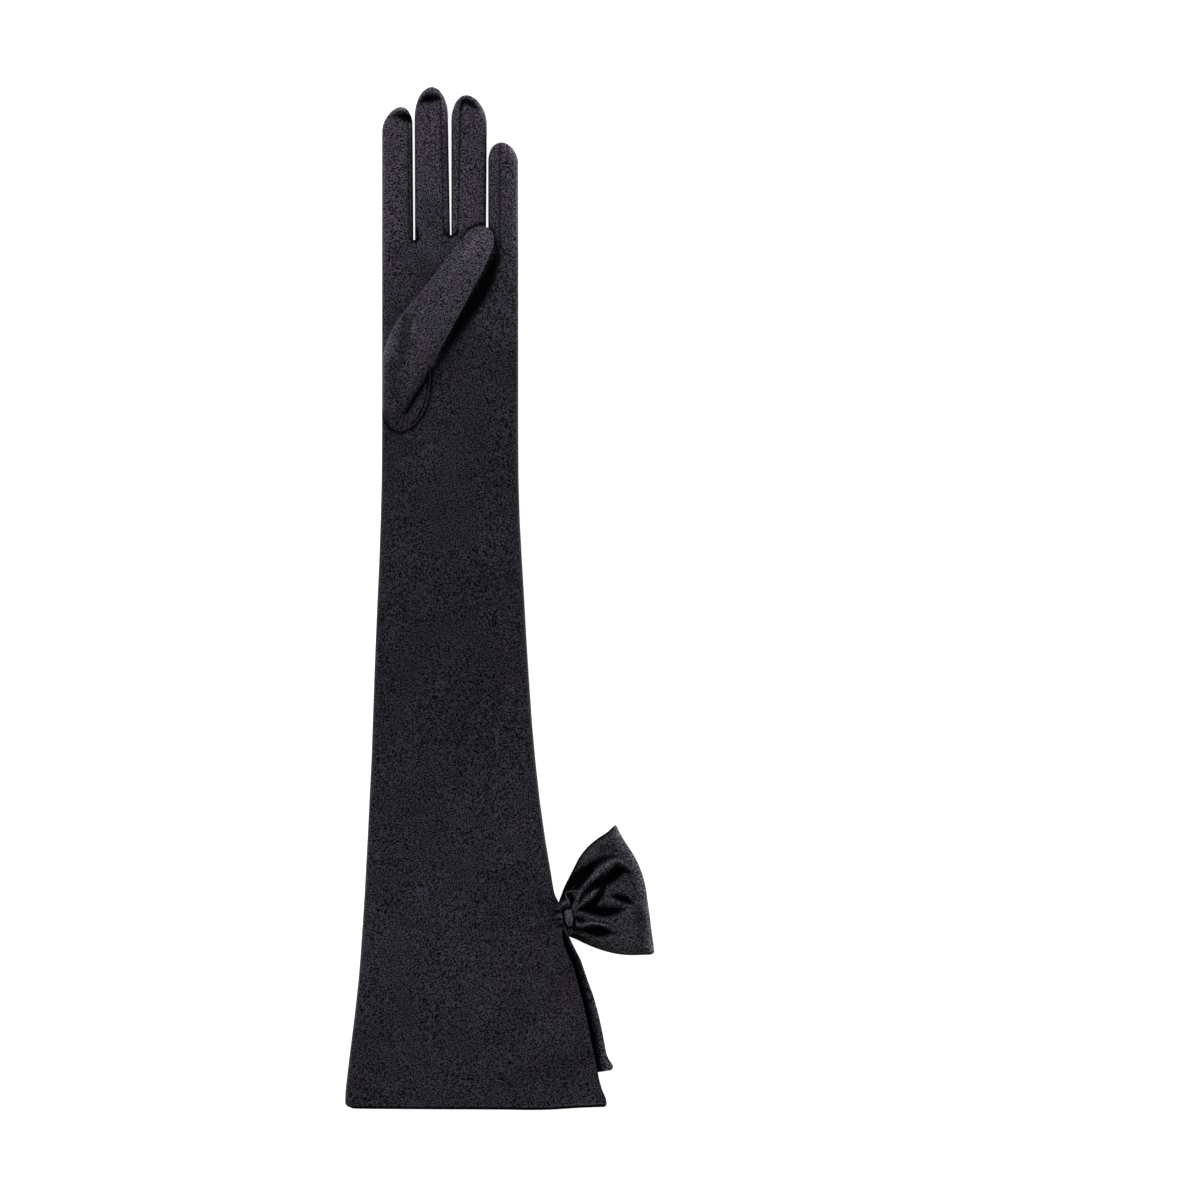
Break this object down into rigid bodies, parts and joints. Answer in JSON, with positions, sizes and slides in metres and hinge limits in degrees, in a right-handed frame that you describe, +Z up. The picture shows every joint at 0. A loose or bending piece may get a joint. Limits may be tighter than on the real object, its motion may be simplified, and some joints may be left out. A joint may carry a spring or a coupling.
{
  "type": "satin opera glove",
  "caption": "Black satin opera glove for the left hand, lying palm up with the thumb folded over, its flared sleeve slit at the side and a pillow bow tied at the top of the slit.",
  "frame": {"origin": "on the surface that the glove lies on, under the middle of its bounding box", "axes": "+X towards the little finger's side, where the bow lies; +Y along the sleeve from the hem to the fingertips; +Z up from the surface, on the palm side"},
  "size_m": [0.1822, 0.6004, 0.0229],
  "materials": {
    "satin": "black stretch satin with a fine grain and a soft sheen",
    "bow_satin": "the same black satin, glossier in the bow's gathers"
  },
  "bodies": {
    "root": {"glove_body": "satin", "fourchette_index_middle": "satin", "fourchette_middle_ring": "satin", "fourchette_ring_little": "satin", "thumb": "satin", "bow": "bow_satin", "bow_knot": "bow_satin"}
  },
  "joints": []
}
